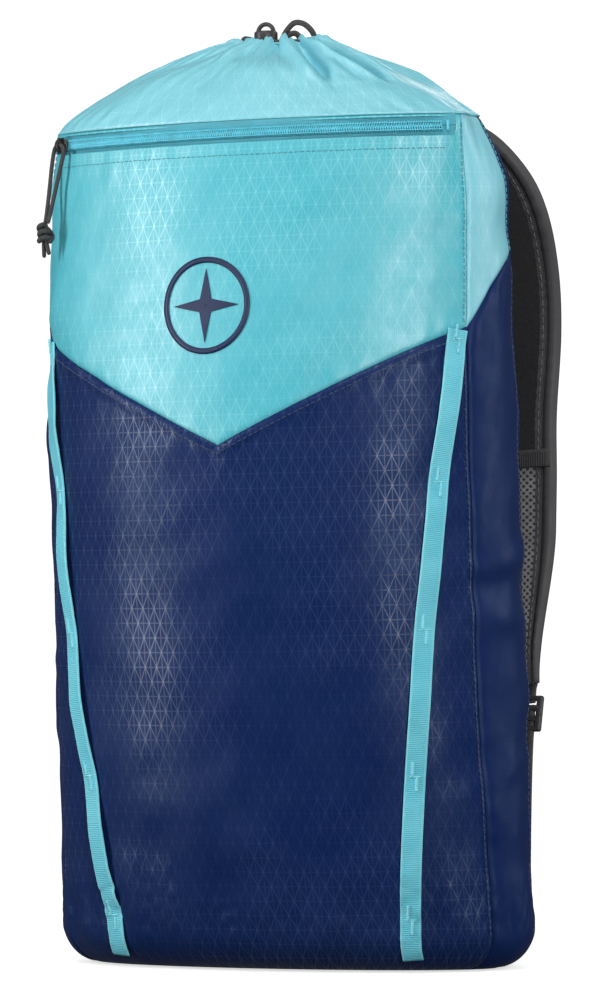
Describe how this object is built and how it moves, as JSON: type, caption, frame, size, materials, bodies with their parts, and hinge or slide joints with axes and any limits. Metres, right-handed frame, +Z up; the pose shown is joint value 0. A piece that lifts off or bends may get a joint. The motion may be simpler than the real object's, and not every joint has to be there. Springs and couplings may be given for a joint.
{
  "type": "drawstring daypack",
  "caption": "Soft two-colour stuff-sack daypack: gathered drawstring collar with cord lock, zipped front pocket, daisy chains, haul loop and padded shoulder straps",
  "frame": {"origin": "middle of the base, on the surface that the pack stands on", "axes": "+Z up, the front with the zip faces -Y, +X to the right seen from the front"},
  "size_m": [0.245, 0.1633, 0.4568],
  "materials": {
    "teal_fabric": "coated ripstop nylon with a soft sheen",
    "navy_fabric": "plain-woven coated nylon, matte",
    "teal_webbing": "narrow woven webbing",
    "zip": "coil zip on a woven tape",
    "charcoal_cord": "braided cord",
    "charcoal_webbing": "ribbed webbing",
    "strap_fabric": "spacer mesh and bound edge over foam",
    "dark_plastic": "moulded nylon",
    "lining_fabric": "coated lining",
    "spring_steel": "drawn wire"
  },
  "bodies": {
    "sack": {"front_upper_panel": "teal_fabric", "front_lower_panel": "navy_fabric", "right_upper_side_panel": "teal_fabric", "right_lower_side_panel": "navy_fabric", "left_upper_side_panel": "teal_fabric", "left_lower_side_panel": "navy_fabric", "back_panel": "navy_fabric", "base_panel": "navy_fabric", "pocket_lining": "lining_fabric", "collar": "teal_fabric", "drawcord_channel": "teal_fabric", "drawcord_ring": "charcoal_cord", "zip_tape_upper": "zip", "zip_tape_lower": "zip", "zip_coil_upper": "zip", "zip_coil_lower": "zip", "zip_top_stop": "zip", "zip_bottom_stop": "zip", "right_daisy_chain": "teal_webbing", "left_daisy_chain": "teal_webbing", "harness_yoke": "charcoal_webbing", "right_adjuster_webbing": "charcoal_webbing", "left_adjuster_webbing": "charcoal_webbing"},
    "slider": {"zip_slider": "dark_plastic", "zip_slider_bridge": "dark_plastic"},
    "pull": {"zip_pull_cord": "charcoal_cord", "zip_pull_knot": "charcoal_cord"},
    "cord_lock": {"drawcord_loop": "charcoal_cord", "cord_lock_barrel": "dark_plastic", "cord_lock_spring": "spring_steel"},
    "lock_button": {"cord_lock_button": "dark_plastic"},
    "haul_loop": {"haul_loop": "charcoal_webbing"},
    "right_strap": {"right_strap_pad": "strap_fabric", "right_ladder_lock": "dark_plastic"},
    "left_strap": {"left_strap_pad": "strap_fabric", "left_ladder_lock": "dark_plastic"}
  },
  "joints": [
    {"name": "zip_travel", "type": "hinge", "parent": "sack", "child": "slider", "pos_m": [0, 0.1593, 0.4], "axis": [0, 0, 1], "range_deg": [0, 55]},
    {"name": "pull_swing", "type": "hinge", "parent": "slider", "child": "pull", "pos_m": [-0.10058, -0.03309, 0.4], "axis": [0.8862, -0.4633, 0], "range_deg": [-110, 0]},
    {"name": "lock_lift", "type": "slide", "parent": "sack", "child": "cord_lock", "axis": [0, 0, 1], "range_m": [0, 0.02]},
    {"name": "button_press", "type": "slide", "parent": "cord_lock", "child": "lock_button", "axis": [0, 0, 1], "range_m": [0, 0.003], "stiffness_N_per_m": 400, "springref_m": -0.001, "deforming": ["cord_lock_spring"]},
    {"name": "haul_swing", "type": "hinge", "parent": "sack", "child": "haul_loop", "pos_m": [0, 0.052, 0.392], "axis": [1, 0, 0], "range_deg": [-150, 0]},
    {"name": "right_strap_swing", "type": "hinge", "parent": "sack", "child": "right_strap", "pos_m": [0.069, 0.0526, 0.398], "axis": [1, 0, 0], "range_deg": [0, 18]},
    {"name": "left_strap_swing", "type": "hinge", "parent": "sack", "child": "left_strap", "pos_m": [-0.069, 0.0526, 0.398], "axis": [1, 0, 0], "range_deg": [0, 18]}
  ]
}
